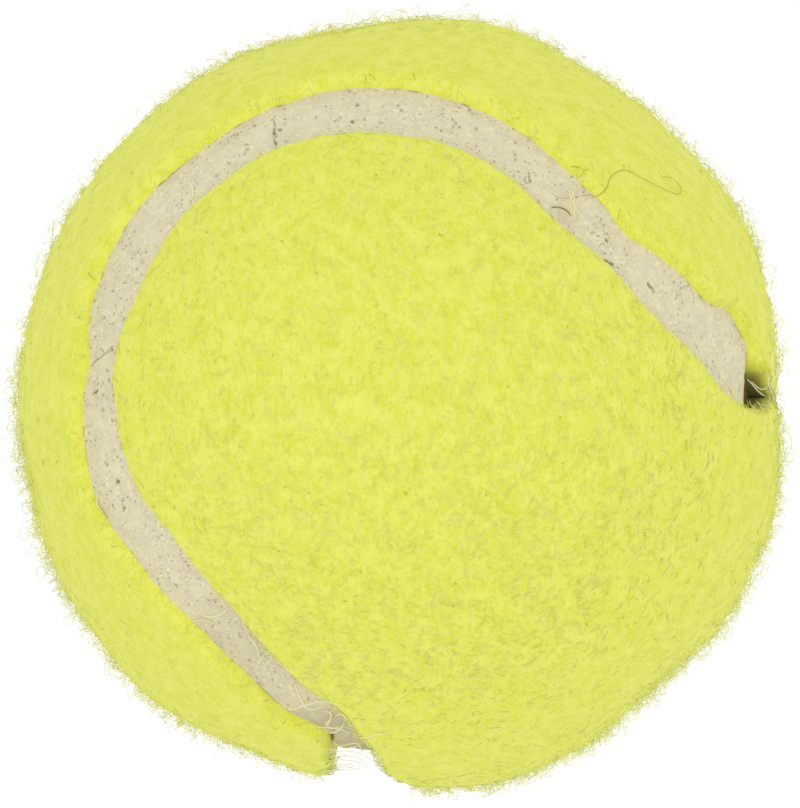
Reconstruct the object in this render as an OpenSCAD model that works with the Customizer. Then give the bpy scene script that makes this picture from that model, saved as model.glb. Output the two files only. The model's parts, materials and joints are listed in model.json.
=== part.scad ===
// Tennis ball: a hollow rubber core in two cemented halves, covered by two equal
// dumbbell-shaped panels of napped felt with a recessed strip of cured cement between them.
// The centre of the ball is the origin. The lobes of the first panel point up and down
// and its waist faces +X. The lobes of the second point along Y and its waist faces -X.
// The seam is four half circles that meet, tangent to each other, in the plane x = 0.

/* [Core] */
// Outside diameter of the bare rubber core
core_d = 60; // [54:0.5:66]
// Wall of each moulded half
core_wall = 3.4; // [2:0.1:6]
// Thickness of the cement between the rims of the two halves
joint_gap = 0.2; // [0.1:0.05:0.6]
// Radius of the bead of cement squeezed out inside the joint
joint_bead_r = 0.6; // [0.4:0.1:1.5]

/* [Cement coats] */
// Coat of rubber cement all over the core
core_coat = 0.15; // [0.1:0.05:0.5]
// Coat of rubber cement on the back of each felt panel
panel_backing = 0.25; // [0.1:0.05:0.6]

/* [Felt] */
// Thickness of the napped felt
felt_thickness = 3.1; // [2.8:0.1:4.5]
// Radius of the rounded shoulder along each panel's edge
felt_shoulder_r = 1.2; // [0.6:0.1:1.3]

/* [Seam] */
// Width of the strip between the two panels, at its outer face
seam_width = 5.6; // [3:0.1:8]
// Height of the strip's edges above the coated core
seam_height = 2.1; // [1.2:0.1:2.5]
// How far the middle of the strip dips below the line between its edges
seam_dip = 0.25; // [0.05:0.05:0.5]

/* [Hidden] */
$fn = 128;

// Radii of the layers, from the inside out
core_r = core_d / 2;
core_inner_r = core_r - core_wall;
coated_r = core_r + core_coat;
felt_inner_r = coated_r + panel_backing;
ball_r = felt_inner_r + felt_thickness;
seam_r = coated_r + seam_height;

// The middle line of the seam lies at this angle from the axis of each of the four lobes
lobe_angle = 45;
// Angle from the middle line of the seam to the edge of a panel, seen from the centre
seam_half_angle = asin(seam_width / 2 / seam_r);
cap_angle = lobe_angle - seam_half_angle;
band_angle = lobe_angle + seam_half_angle;
// How far a cutting outline reaches past what it cuts, as a multiple of its radius
past_share = 1.1;

// Profiles are drawn in a half plane whose y axis is the axis of revolution
function polar_point(radius, angle) = radius * [sin(angle), cos(angle)];

// Slice of a disc between two angles from the axis
module sector(radius, from_angle, to_angle) {
    tip_r = past_share * radius / cos((to_angle - from_angle) / 2);
    intersection() {
        circle(radius);
        polygon([[0, 0], polar_point(tip_r, from_angle), polar_point(tip_r, to_angle)]);
    }
}

// Half of the section through a panel's layer, from its middle at the axis to its edge.
// The outer corner at the edge is rounded when a radius is given.
module half_section(inner_r, outer_r, round_r) {
    centre_r = outer_r - round_r;
    full_angle = cap_angle - asin(round_r / centre_r);
    difference() {
        union() {
            sector(outer_r, 0, full_angle);
            if (round_r > 0) {
                sector(centre_r * cos(cap_angle - full_angle), 0, cap_angle);
                translate(polar_point(centre_r, full_angle)) circle(round_r);
            }
        }
        circle(inner_r);
    }
}

// Section across the waist, from one edge to the other
module waist_section(inner_r, outer_r, round_r) {
    rotate([0, 0, -90]) {
        half_section(inner_r, outer_r, round_r);
        mirror([1, 0, 0]) half_section(inner_r, outer_r, round_r);
    }
}

// Section through the strip, with its top dished between the two panels.
// It starts inside the core, where the coated core is cut from the whole loop.
module strip_section() {
    chord_r = seam_r * cos(seam_half_angle);
    dish_r = (pow(seam_width / 2, 2) + pow(seam_dip, 2)) / (2 * seam_dip);
    difference() {
        sector(seam_r, cap_angle, band_angle);
        circle(core_inner_r);
        translate(polar_point(chord_r - seam_dip + dish_r, lobe_angle)) circle(dish_r);
    }
}

// Half a turn about Z, on the -X side
module half_turn_about_z() {
    rotate([0, 0, 90]) rotate_extrude(angle = 180) children();
}

// Half a turn about Y, on the +X side
module half_turn_about_y() {
    rotate([-90, 0, 0]) rotate([0, 0, -90]) rotate_extrude(angle = 180) children();
}

// Shape of the first panel: two half caps about Z and the half band about Y that joins them
module panel(inner_r, outer_r, round_r = 0) {
    for (side = [0, 1])
        mirror([0, 0, side]) half_turn_about_z() half_section(inner_r, outer_r, round_r);
    half_turn_about_y() waist_section(inner_r, outer_r, round_r);
}

// The second panel is the first, turned half a turn about the line y = z
module turned_to_second() {
    rotate(a = 180, v = [0, 1, 1]) children();
}

// Half of the core above z = 0, short of the joint by half the cement's thickness
module core_half() {
    rotate_extrude() difference() {
        intersection() {
            circle(core_r);
            translate([0, joint_gap / 2]) square(core_r);
        }
        circle(core_inner_r);
    }
}

module core_half_upper() {
    color("#3a3a3c") core_half();
}

module core_half_lower() {
    color("#3a3a3c") mirror([0, 0, 1]) core_half();
}

// Flat washer of cement between the rims, with a bead squeezed out on the inside
module core_joint() {
    color("#6e6a62") rotate_extrude() {
        intersection() {
            circle(core_r);
            translate([core_inner_r - joint_bead_r / 2, -joint_gap / 2])
                square([core_wall + joint_bead_r, joint_gap]);
        }
        intersection() {
            circle(core_inner_r);
            translate([core_inner_r, 0]) circle(joint_bead_r);
        }
    }
}

module core_cement() {
    color("#8a8478") difference() {
        sphere(coated_r);
        sphere(core_r);
    }
}

module panel_backing_first() {
    color("#a39c8c") panel(coated_r, felt_inner_r);
}

module panel_backing_second() {
    color("#a39c8c") turned_to_second() panel(coated_r, felt_inner_r);
}

module felt_panel_first() {
    color("#dfe463") panel(felt_inner_r, ball_r, felt_shoulder_r);
}

module felt_panel_second() {
    color("#dfe463") turned_to_second() panel(felt_inner_r, ball_r, felt_shoulder_r);
}

// Closed loop of four half rings, end to end along the seam
module seam_strip() {
    color("#dcd3b4") difference() {
        for (side = [0, 1]) {
            mirror([0, 0, side]) half_turn_about_z() strip_section();
            mirror([0, side, 0]) half_turn_about_y() strip_section();
        }
        sphere(coated_r);
    }
}

core_half_upper();
core_half_lower();
core_joint();
core_cement();
panel_backing_first();
panel_backing_second();
felt_panel_first();
felt_panel_second();
seam_strip();
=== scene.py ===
"""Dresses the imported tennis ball: two panels of matted, napped felt, a recessed strip of
pitted seam rubber, loose curled fibres, and procedural finishes for the hidden core.

The work is done in millimetres from the middle of the ball and written in metres.
The seam is followed by one number, the turn, that goes from 0 to 4, one for each of its
half circles. A felt panel has a spine, which is its lobe's pole or the middle line of its
waist, and a place on the panel is a turn and an angle away from the spine.
"""

import json
import math

import bmesh
import bpy
import numpy as np
from mathutils import Matrix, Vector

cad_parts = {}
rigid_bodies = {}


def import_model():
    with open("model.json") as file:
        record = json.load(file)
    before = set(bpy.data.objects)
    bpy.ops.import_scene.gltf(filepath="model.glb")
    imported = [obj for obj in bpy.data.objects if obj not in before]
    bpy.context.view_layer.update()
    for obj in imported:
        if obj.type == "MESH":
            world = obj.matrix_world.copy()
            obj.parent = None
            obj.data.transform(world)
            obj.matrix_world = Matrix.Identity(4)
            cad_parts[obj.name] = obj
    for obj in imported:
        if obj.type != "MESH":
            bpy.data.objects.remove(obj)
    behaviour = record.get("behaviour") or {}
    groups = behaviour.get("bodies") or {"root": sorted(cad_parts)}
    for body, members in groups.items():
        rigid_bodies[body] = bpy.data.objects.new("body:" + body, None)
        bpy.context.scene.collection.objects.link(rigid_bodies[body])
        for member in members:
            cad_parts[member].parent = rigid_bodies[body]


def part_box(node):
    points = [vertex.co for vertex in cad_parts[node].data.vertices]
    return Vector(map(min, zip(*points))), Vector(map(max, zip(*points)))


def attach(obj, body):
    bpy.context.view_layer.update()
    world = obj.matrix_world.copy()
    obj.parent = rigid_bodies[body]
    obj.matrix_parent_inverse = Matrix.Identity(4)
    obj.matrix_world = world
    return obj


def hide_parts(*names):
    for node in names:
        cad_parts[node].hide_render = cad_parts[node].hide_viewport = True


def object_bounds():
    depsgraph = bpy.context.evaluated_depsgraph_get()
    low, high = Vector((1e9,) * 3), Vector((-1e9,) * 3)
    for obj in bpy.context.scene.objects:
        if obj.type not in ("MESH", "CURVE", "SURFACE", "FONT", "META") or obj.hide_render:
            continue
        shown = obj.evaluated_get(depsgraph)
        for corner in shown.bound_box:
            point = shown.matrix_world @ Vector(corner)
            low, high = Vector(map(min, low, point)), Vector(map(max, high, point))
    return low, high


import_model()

bl_info = {
    "name": "Tennis ball",
    "version": (1, 0, 0),
    "blender": (4, 5, 0),
    "location": "3D View > Sidebar > Tennis ball",
    "description": "Makes the felt, nap, seam and finishes of a tennis ball",
    "category": "Object",
}

CAD_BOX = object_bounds()
BODY = "root"
MM = 0.001
BALL_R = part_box("felt_panel_first")[1][2] / MM
BACKING_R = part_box("panel_backing_first")[1][2] / MM
COATED_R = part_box("core_cement")[1][2] / MM
FLOOR_Z = CAD_BOX[0][2] / MM
LOBE_ANGLE = math.radians(45)
# Length of the seam's true line on the felt's nominal top, over its four half circles
SEAM_LENGTH = 4 * math.pi * BALL_R * math.sin(LOBE_ANGLE)

# The photograph's camera, in degrees round and above the ball, and its lens
CAMERA_AZIMUTH = 105.77
CAMERA_ELEVATION = 81.38
CAMERA_ROLL = -60.57
CAMERA_DISTANCE = 670.0
CAMERA_LENS = 341.7
CAMERA_SENSOR = 36.0
PICTURE_WIDTH = 800
PICTURE_HEIGHT = 808
BALL_IN_PICTURE = (401.6, 402.5)

# The floor: half its side in mm, its greys and the strength of its own light
FLOOR_REACH = 3000.0
FLOOR_GREYS = (0.30, 0.33)
FLOOR_GLOW = 0.82
# Strength of the light from all round
DOME_LIGHT = 0.64
# The lamp: its distance in mm, its shift to the picture's left as a share of that, a line
# that one of its axes is square to, its width in metres and its power in watts
LAMP_DISTANCE = 600.0
LAMP_SHIFT = 0.08
LAMP_LINE = (0.31, 0.17, 0.94)
LAMP_WIDTH = 0.45
LAMP_POWER = 1.14

# Layers of soft noise: height, size in mm and seed. The heights are shares of the lumps'
# height for the felt, mm for the panels' edges and the strip, shares of the way from the
# deepest to the palest shade for the nap's colour, and radians for the way it is brushed.
FELT_LUMPS = [(0.9, 11.0, 1), (0.8, 3.1, 2), (0.45, 1.1, 3)]
EDGE_WAVES = [(0.16, 5.0, 11), (0.11, 1.5, 21)]
STRIP_RIPPLES = [(0.10, 4.2, 31), (0.05, 1.3, 32), (0.03, 0.45, 33)]
NAP_SHADES = [(0.30, 1.4, 71), (0.18, 4.0, 72)]
NAP_SWIRLS = [(0.8, 12.0, 81), (0.8, 3.0, 82)]

# The strip, in mm: how far it reaches under the panels, the gap that keeps it off the core,
# the depth of its fine wrinkles, and the least radius of its large pits and how much more
# the largest has
STRIP_TUCK = 0.55
STRIP_CLEARANCE = 0.02
STRIP_WRINKLE = 0.08
PIT_RADIUS = (0.06, 0.22)
# The gap between a felt panel and its backing, in mm
FELT_CLEARANCE = 0.01
# How far below the felt's top its fibres start, in mm
ROOT_DEPTH = 0.05

# The nap: share of its places that are taken on the first panel and on the second, in their
# middles and along their edges; how wide those edges are in mm; and what coarse felt adds
NAP_SHARE = (0.27, 0.03)
NAP_EDGE_SHARE = (0.6, 0.25)
NAP_EDGE_WIDTH = 1.2
NAP_COARSE_SHARE = 0.4
# Share and size of the dark specks and of the long pale streaks among its fibres
NAP_SPECKS = (0.005, 0.35)
NAP_STREAKS = (0.13, 1.9)
# How round its fibres are shaded
NAP_ROUNDNESS = 0.35
# Each panel's nap is made in five pieces
NAP_PARTS = ("upper_lobe", "lower_lobe", "waist_low", "waist_middle", "waist_high")

# The loose fibres that stand off the felt, in mm: how far from a panel's edge they start;
# their least height, the shape and scale of what is added to it, and the power of their
# crowding that this grows with; their lengths; the radii of their loops and the power of
# the length that these grow with; and the points along each
LOOSE_FIBRES = {
    "short_fuzz": dict(clear=0.2, low=0.08, spread=(1.8, 0.32), crowding=1.0,
                       lengths=(0.6, 1.7), loops=(0.05, 0.24), growth=0.0, stops=6),
    "long_curls": dict(clear=0.4, low=0.12, spread=(1.7, 0.34), crowding=0.0,
                       lengths=(0.9, 3.2), loops=(0.10, 0.42), growth=0.5, stops=9),
}
# The fringe, in mm: how far inside a panel's edge it starts, how much further than that it
# reaches at least, and its thickness
FRINGE_START = (0.05, 0.9)
FRINGE_PAST = 0.3
FRINGE_THICKNESS = (0.03, 0.085)

# Soft swellings of the felt at the ball's outline as the camera sees it:
# degrees round the picture from its right side, how far they spread, and height in mm
OUTLINE_SWELLS = [
    (30, 11, 0.55),
    (75, 11, 0.6),
    (102, 9, -0.55),
    (230, 9, 0.5),
    (246, 7, -0.3),
    (285, 13, 0.85),
    (312, 7, -0.3),
    (333, 13, 0.55),
    (2, 9, -0.75),
    (38, 7, -0.25),
    (60, 6, -0.4),
    (97, 5, -0.15),
    (140, 14, -0.12),
    (192, 5, -0.55),
    (212, 9, 0.2),
    (300, 6, 0.25),
    (324, 5, 0.35),
    (343, 5, 0.3),
]
# Stretches of the outline with more fuzz: degrees, how far they spread, and how much more
FUZZY_RIM = [
    (28, 10, 0.3), (72, 8, 0.3), (186, 10, 0.6), (205, 16, 0.5), (230, 10, 0.5),
    (283, 14, 0.7), (305, 12, 0.5), (327, 12, 0.6), (344, 6, 0.4),
]

# Places where the felt's edges lie further from the seam's middle line than the mean, or
# nearer: turn, reach in turns, mm for the first panel's edge, mm for the second's
SEAM_EDGE_SHIFTS = [
    (3.690, 0.040, 0.5, 1.5),
    (3.790, 0.045, -0.1, 0.6),
    (3.900, 0.040, -0.5, -0.9),
    (0.020, 0.050, 0.1, -0.5),
    (0.270, 0.130, 0.25, 0.95),
    (0.440, 0.050, 0.35, -0.2),
    (0.600, 0.090, 0.75, 0.5),
    (0.730, 0.040, -0.3, -1.3),
    (0.870, 0.055, -0.05, 0.85),
    (0.970, 0.045, 0.65, -0.1),
    (1.190, 0.110, -1.05, 0.0),
    (1.235, 0.035, 0.75, 0.2),
    (1.295, 0.040, 0.0, -1.9),
    (1.440, 0.120, -2.5, 0.0),
    (1.750, 0.100, 0.3, 0.3),
    (2.150, 0.080, -0.4, 0.2),
    (2.500, 0.100, 0.3, -0.3),
    (2.900, 0.080, 0.2, 0.4),
    (3.250, 0.080, -0.4, 0.2),
]
# Edges with more loose fibres: turn, how far they spread, and how many more on the first
# panel's edge and on the second's
SHAGGY_EDGES = [(1.25, 0.06, 120, 0), (1.36, 0.04, 70, 50), (3.52, 0.03, 120, 120)]
# The same as the shifts, for a pinch with steep ends
SEAM_PINCHES = [(3.531, 0.088, -0.9, -1.9), (3.450, 0.122, -2.4, -1.6), (1.560, 0.160, 0.0, 3.0)]
# Stretches with steep ends where the strip has sunk and where painted shade darkens it and
# the felt's edges beside it: turn, reach, depth in mm, and how dark that painted shade is
SEAM_HOLLOWS = [(3.515, 0.097, 1.1, 1.0), (1.540, 0.170, 1.7, 0.5),
                (1.135, 0.080, 0.0, 0.12), (1.310, 0.070, 0.0, 0.28)]

# Cracks and creases in the seam, which darken its colour by their depth: from (turn, mm
# across) to (turn, mm across), half width in mm, depth in mm
SEAM_CREASES = [
    ((0.362, 2.6), (0.364, 0.9), 0.04, 0.14),
    ((0.364, 0.9), (0.367, 0.2), 0.05, 0.22),
    ((0.367, 0.2), (0.358, 0.4), 0.09, 0.30),
    ((0.367, 0.2), (0.368, -1.0), 0.04, 0.16),
    ((0.368, -1.0), (0.367, -1.5), 0.08, 0.24),
    ((0.367, -1.5), (0.372, -2.3), 0.05, 0.18),
    ((0.255, 0.0), (0.253, -1.3), 0.03, 0.13),
    ((0.270, -0.6), (0.269, -0.7), 0.12, 0.28),
    ((0.265, 1.9), (0.267, 1.6), 0.10, 0.24),
    ((0.279, 1.6), (0.272, 1.6), 0.07, 0.16),
    ((0.707, -0.9), (0.728, 1.7), 0.05, 0.20),
    ((0.707, -0.9), (0.710, -1.0), 0.08, 0.24),
    ((0.734, -0.6), (0.736, -0.7), 0.07, 0.22),
    ((0.746, -0.9), (0.747, -0.9), 0.09, 0.26),
    ((0.758, 0.7), (0.761, 1.4), 0.07, 0.28),
    ((0.870, 0.3), (0.868, 0.5), 0.13, 0.35),
    ((0.891, 0.8), (0.901, 1.1), 0.05, 0.18),
    ((3.905, -1.6), (3.895, -1.3), 0.10, 0.28),
    ((3.844, 0.1), (3.832, 0.0), 0.10, 0.30),
    ((3.920, 0.4), (3.914, 0.2), 0.07, 0.24),
    ((0.060, -0.3), (0.072, 1.0), 0.04, 0.14),
    ((0.030, -1.2), (0.042, -0.2), 0.05, 0.18),
    ((0.140, 0.6), (0.155, 1.4), 0.05, 0.16),
    # A broad, shallow crease by the second panel's corner, whose darkening is painted shadow
    ((1.308, 1.7), (1.322, 2.3), 0.30, 0.30),
    ((1.560, -0.8), (1.572, 0.9), 0.06, 0.20),
    ((2.210, 0.1), (2.228, 1.2), 0.06, 0.20),
    ((2.700, -1.2), (2.712, 0.2), 0.06, 0.20),
    ((3.150, -0.6), (3.176, 0.8), 0.05, 0.15),
]

# Loose threads, each followed through points of the picture from one end to the other
LONG_HAIR = [
    (551, 193), (561, 198), (580, 196), (591, 194), (606, 189), (610, 178), (619, 171),
    (629, 171), (642, 178), (658, 186), (677, 194), (681, 189), (674, 179), (660, 176),
]
SHORT_HAIR = [(550, 208), (557, 207), (564, 209), (568, 212), (571, 216)]
SEAM_STRANDS = [
    [(292, 679), (296, 689), (300, 698), (305, 707), (312, 710), (325, 706)],
    [(280, 711), (290, 710), (300, 707), (310, 704), (322, 702), (346, 706)],
    [(308, 723), (318, 727), (332, 728), (343, 730), (352, 735)],
    [(329, 710), (331, 718), (326, 724), (332, 728), (340, 727)],
    [(333, 717), (341, 715), (346, 719), (343, 724)],
    [(345, 722), (339, 730), (331, 733), (324, 729)],
    [(336, 747), (346, 745), (355, 743), (360, 746), (362, 753)],
    [(353, 737), (363, 738), (377, 735), (392, 733)],
    [(187, 179), (193, 189), (191, 203)],
    [(572, 187), (574, 203), (575, 222)],
    [(568, 188), (573, 203), (583, 221)],
    [(574, 190), (570, 205), (577, 218)],
    [(620, 228), (614, 234), (608, 241)],
    [(332, 742), (345, 748), (362, 745)],
    [(98, 492), (97, 504), (103, 513)],
    [(126, 499), (127, 510), (123, 520)],
    [(238, 620), (248, 635), (256, 646), (260, 661)],
    [(260, 661), (266, 664), (271, 658), (265, 654), (261, 661)],
    [(261, 658), (258, 664), (255, 671)],
    [(198, 614), (210, 617), (220, 615), (227, 609)],
    [(192, 621), (204, 620), (213, 624)],
    [(325, 710), (331, 714), (330, 720), (327, 726)],
]
RIM_LOOPS = [
    ((8, 447), 7, 11),
    ((20, 457), 5, 6),
    ((17, 474), 5, 7),
    ((24, 487), 5, 7),
    ((13, 428), 6, 6),
    ((27, 508), 5, 6),
    ((24, 534), 5, 7),
    ((33, 552), 6, 5),
    ((41, 572), 5, 5),
    ((789, 455), 5, 8),
]
RIM_STRANDS = [
    [(322, 771), (335, 770), (352, 769)],
    [(328, 753), (345, 751), (362, 754), (374, 762)],
    [(330, 757), (341, 756), (356, 757), (368, 764)],
    [(331, 761), (345, 760), (360, 763), (372, 769)],
    [(329, 766), (342, 764), (357, 766)],
    [(333, 768), (346, 767), (362, 770)],
    [(326, 749), (338, 751), (350, 758)],
    [(747, 379), (752, 384), (758, 391), (766, 397)],
    [(751, 381), (760, 389), (768, 388)],
    [(773, 332), (776, 345), (772, 358), (775, 371)],
    [(771, 371), (768, 381), (772, 393), (776, 404)],
    [(775, 366), (777, 374), (771, 384), (774, 390)],
    [(778, 428), (788, 433), (792, 445), (786, 456)],
    [(14, 437), (20, 446), (24, 458), (33, 468)],
]

# Finishes of the pieces that the felt hides: low, high and pore colour, size of the patches
# and of the pores' cells in mm, and roughness
CORE_FINISHES = {
    "core_black_rubber": ((0.028, 0.028, 0.030, 1), (0.060, 0.060, 0.064, 1),
                          (0.012, 0.012, 0.012, 1), 3.0, 0.9, 0.62),
    "joint_cement_grey": ((0.12, 0.11, 0.09, 1), (0.19, 0.175, 0.145, 1),
                          (0.05, 0.045, 0.035, 1), 1.4, 0.6, 0.5),
    "coat_cement_tan": ((0.20, 0.17, 0.12, 1), (0.30, 0.26, 0.19, 1),
                        (0.10, 0.085, 0.055, 1), 2.2, 0.7, 0.55),
    "backing_cement_cream": ((0.36, 0.32, 0.24, 1), (0.48, 0.44, 0.34, 1),
                             (0.20, 0.17, 0.11, 1), 1.1, 0.5, 0.7),
}
WEARS = {
    "core_half_upper": "core_black_rubber", "core_half_lower": "core_black_rubber",
    "core_joint": "joint_cement_grey", "core_cement": "coat_cement_tan",
    "panel_backing_first": "backing_cement_cream",
    "panel_backing_second": "backing_cement_cream",
}
# Darkest and lightest colour of each kind of thread
CREAM_THREAD = ((0.88, 0.84, 0.42, 1), (0.95, 0.93, 0.60, 1))
WHITE_THREAD = ((0.84, 0.84, 0.58, 1), (0.94, 0.94, 0.78, 1))
BROWN_THREAD = ((0.38, 0.31, 0.08, 1), (0.50, 0.42, 0.13, 1))
DARK_THREAD = ((0.26, 0.19, 0.08, 1), (0.30, 0.22, 0.09, 1))


class TennisBallFelt(bpy.types.PropertyGroup):
    """Sizes and colours of the two felt panels."""
    top_radius: bpy.props.FloatProperty(
        name="Top of the felt", description="Radius of the felt below its loose nap",
        default=(BALL_R - 0.16) * MM, unit="LENGTH", subtype="DISTANCE")
    shoulder_radius: bpy.props.FloatProperty(
        name="Shoulder", description="Radius of the rounded edge along the seam",
        default=1.1 * MM, unit="LENGTH", subtype="DISTANCE")
    lump_height: bpy.props.FloatProperty(
        name="Lumps", description="Height of the soft lumps in the matted felt",
        default=0.13 * MM, unit="LENGTH", subtype="DISTANCE")
    # Painted shade: the felt's colour as it looks down between the fibres; it darkens the felt's
    # hollows and the nap's roots, and the darkest nap fibres have it too
    deep_colour: bpy.props.FloatVectorProperty(
        name="Deep colour", description="Colour down between the fibres",
        default=(0.83, 0.87, 0.09), min=0, max=1, subtype="COLOR")
    main_colour: bpy.props.FloatVectorProperty(
        name="Main colour", description="Colour of the felt and most of its nap",
        default=(0.895, 0.92, 0.16), min=0, max=1, subtype="COLOR")
    light_colour: bpy.props.FloatVectorProperty(
        name="Light colour", description="Colour of the lightest fibres",
        default=(0.935, 0.95, 0.25), min=0, max=1, subtype="COLOR")
    # Painted shade: the colour that the felt's shoulders and walls darken towards beside the
    # seam's deepest hollows, where the gap between the panels lies in shadow
    gap_shade_colour: bpy.props.FloatVectorProperty(
        name="Gap shade colour", description="Colour of the edges along a hollow of the seam",
        default=(0.20, 0.17, 0.03), min=0, max=1, subtype="COLOR")


class TennisBallNap(bpy.types.PropertyGroup):
    """Sizes and amounts of the loose fibres on the felt."""
    density: bpy.props.FloatProperty(
        name="Nap density", description="Nap fibres on each square millimetre of felt",
        default=5.4, min=0.1, max=12)
    length: bpy.props.FloatProperty(
        name="Nap length", description="Mean length of a nap fibre",
        default=1.05 * MM, unit="LENGTH", subtype="DISTANCE")
    thickness: bpy.props.FloatProperty(
        name="Nap thickness", description="Thickness of a nap fibre at its middle",
        default=0.080 * MM, unit="LENGTH", subtype="DISTANCE")
    curl_density: bpy.props.FloatProperty(
        name="Curl density", description="Long loose curls on each square millimetre",
        default=0.6, min=0, max=3)
    curl_height: bpy.props.FloatProperty(
        name="Curl height", description="How far the longest curls stand off the felt",
        default=1.5 * MM, unit="LENGTH", subtype="DISTANCE")
    curl_thickness: bpy.props.FloatProperty(
        name="Curl thickness", description="Thickness of a loose curl at its middle",
        default=0.045 * MM, unit="LENGTH", subtype="DISTANCE")
    fringe_density: bpy.props.FloatProperty(
        name="Fringe density", description="Fibres on each millimetre of a panel's edge",
        default=2.5, min=0, max=30)
    fuzz_density: bpy.props.FloatProperty(
        name="Fuzz density", description="Short crinkled hairs on each square millimetre",
        default=3.1, min=0, max=4)
    fuzz_height: bpy.props.FloatProperty(
        name="Fuzz height", description="How far the tallest short hairs stand off the felt",
        default=1.3 * MM, unit="LENGTH", subtype="DISTANCE")
    fuzz_thickness: bpy.props.FloatProperty(
        name="Fuzz thickness", description="Thickness of a short hair at its middle",
        default=0.052 * MM, unit="LENGTH", subtype="DISTANCE")
    # Partly painted light: the tall loose fibres are given this pale colour for the light that
    # shines through them
    pale_colour: bpy.props.FloatVectorProperty(
        name="Pale colour", description="Colour of the bleached tips that stand off the felt",
        default=(0.96, 0.965, 0.66), min=0, max=1, subtype="COLOR")
    speck_colour: bpy.props.FloatVectorProperty(
        name="Speck colour", description="Colour of the few dark olive fibres",
        default=(0.42, 0.41, 0.07), min=0, max=1, subtype="COLOR")


class TennisBallSeam(bpy.types.PropertyGroup):
    """Sizes and colours of the strip of seam rubber."""
    width: bpy.props.FloatProperty(
        name="Width", description="Width of the strip that shows between the panels",
        default=6.1 * MM, unit="LENGTH", subtype="DISTANCE")
    slip: bpy.props.FloatProperty(
        name="Slip", description="How far the strip lies off its true line, to the second panel",
        default=0.28 * MM, unit="LENGTH", subtype="DISTANCE")
    height: bpy.props.FloatProperty(
        name="Height", description="Height of the strip's edges above the coated core",
        default=2.1 * MM, unit="LENGTH", subtype="DISTANCE")
    dip: bpy.props.FloatProperty(
        name="Dip", description="How far the middle of the strip lies below its edges",
        default=0.25 * MM, unit="LENGTH", subtype="DISTANCE")
    pit_spacing: bpy.props.FloatProperty(
        name="Pit spacing", description="Size of the squares that may each hold one large pit",
        default=1.2 * MM, unit="LENGTH", subtype="DISTANCE")
    colour: bpy.props.FloatVectorProperty(
        name="Colour", description="Colour of the cured seam rubber",
        default=(0.82, 0.755, 0.53), min=0, max=1, subtype="COLOR")
    fleck_colour: bpy.props.FloatVectorProperty(
        name="Fleck colour", description="Colour of the cream flecks between the pits",
        default=(0.95, 0.91, 0.60), min=0, max=1, subtype="COLOR")
    # The strip's pores, pits, creases and edges darken towards this colour, and so does the
    # painted shade over its hollows
    pit_colour: bpy.props.FloatVectorProperty(
        name="Pit colour", description="Colour of the dirt down in the pits",
        default=(0.20, 0.15, 0.045), min=0, max=1, subtype="COLOR")


def unit(vectors):
    """Each vector divided by its length."""
    return vectors / np.maximum(np.linalg.norm(vectors, axis=-1, keepdims=True), 1e-12)


def cell_value(cells, seed):
    """A fixed number from 0 to 1 for each cell: its three whole numbers, times large odd
    numbers, are mixed with the seed, and the low bits of the result are kept."""
    x, y, z = (cells[..., i].astype(np.uint32) for i in range(3))
    mixed = (
        x * np.uint32(73856093)
        ^ y * np.uint32(19349663)
        ^ z * np.uint32(83492791)
        ^ np.uint32(seed * 2654435761 & 0xFFFFFFFF)
    )
    mixed ^= mixed >> np.uint32(13)
    mixed *= np.uint32(1274126177)
    mixed ^= mixed >> np.uint32(16)
    return (mixed & np.uint32(0xFFFF)) / 65535.0


def soft_noise(points, size, seed):
    """Smooth random height from -1 to 1: the values at the eight corners of the cube that
    a point lies in, blended along each axis by 3f² - 2f³ of the way across."""
    places = points / size
    cells = np.floor(places).astype(np.int64)
    f = places - cells
    f = f * f * (3 - 2 * f)
    total = 0.0
    for corner in np.ndindex(2, 2, 2):
        share = np.where(corner, f, 1 - f)
        total = total + share[..., 0] * share[..., 1] * share[..., 2] * cell_value(
            cells + corner, seed)
    return 2 * total - 1


def layered_noise(points, layers):
    """The sum of several soft noises, each given by its height, size and seed."""
    return sum(height * soft_noise(points, size, seed) for height, size, seed in layers)


def nearest_spot(along, across, spacing, whole, seed):
    """Distance to the nearest of scattered spots, one in each square of about that spacing
    on a strip that meets itself after its whole length, and that spot's own number from 0
    to 1."""
    count = round(whole / spacing)
    size = whole / count
    x, y = along / size, across / size
    best = np.full(np.broadcast(x, y).shape, np.inf)
    number = np.zeros(best.shape)
    for step_x, step_y in np.ndindex(3, 3):
        column = np.floor(x).astype(np.int64) + step_x - 1 + 0 * y.astype(np.int64)
        row = np.floor(y).astype(np.int64) + step_y - 1
        cell = np.stack([column % count, row + 0 * column, 0 * column], -1)
        gap = size * np.hypot(x - column - cell_value(cell, seed),
                              y - row - cell_value(cell, seed + 1))
        nearer = gap < best
        best = np.where(nearer, gap, best)
        number = np.where(nearer, cell_value(cell, seed + 2), number)
    return best, number


def smooth_step(x):
    """0 below 0, 1 above 1, and 3x² - 2x³ between."""
    x = np.clip(x, 0, 1)
    return x * x * (3 - 2 * x)


def camera_axes():
    """Right, up and towards the camera, as the picture shows them: the level pair of axes
    at the camera's azimuth and elevation, turned by its roll."""
    azimuth, elevation, roll = (
        math.radians(a) for a in (CAMERA_AZIMUTH, CAMERA_ELEVATION, CAMERA_ROLL))
    back = np.array([
        math.sin(azimuth) * math.cos(elevation),
        -math.cos(azimuth) * math.cos(elevation),
        math.sin(elevation),
    ])
    level = np.array([math.cos(azimuth), math.sin(azimuth), 0])
    upright = np.cross(back, level)
    right = math.cos(roll) * level + math.sin(roll) * upright
    return right, np.cross(back, right), back


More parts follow.
